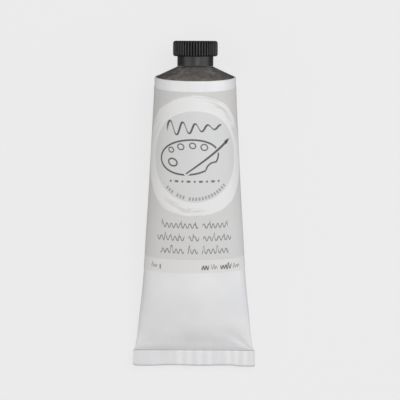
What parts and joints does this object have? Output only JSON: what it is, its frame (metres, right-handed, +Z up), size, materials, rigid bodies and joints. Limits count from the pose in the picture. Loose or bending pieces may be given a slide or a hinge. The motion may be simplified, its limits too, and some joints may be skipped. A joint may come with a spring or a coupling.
{
  "type": "artists' paint tube",
  "caption": "Filled collapsible aluminium paint tube with a ribbed black screw cap, bare metal shoulder, wrap-round paper label and folded tail.",
  "frame": {"origin": "under the middle of the tube, on the surface that it lies on", "axes": "+Z up from the surface, +Y along the tube towards the cap, +X across the tube"},
  "size_m": [0.038, 0.1008, 0.0253],
  "materials": {
    "tube_metal": "satin",
    "label_paper": "matte",
    "sealant_latex": "matte",
    "paint_paste": "gloss",
    "cap_plastic": "satin",
    "liner_foam": "matte"
  },
  "bodies": {
    "tube": {"tube_shell": "tube_metal", "label": "label_paper", "fold_sealant": "sealant_latex", "paint_fill": "paint_paste"},
    "liner": {"cap_liner": "liner_foam"},
    "cap": {"cap": "cap_plastic"}
  },
  "joints": [
    {"name": "cap_lift", "type": "slide", "parent": "tube", "child": "liner", "axis": [0, 1, 0], "range_m": [0, 0.014]},
    {"name": "cap_unscrew", "type": "hinge", "parent": "liner", "child": "cap", "pos_m": [0, 0.0422, 0.01295], "axis": [0, 1, 0], "range_deg": [0, 2520]}
  ],
  "couplings": [
    {"joint": "cap_unscrew", "follows": "cap_lift", "rad_per_m": 3141.6}
  ]
}
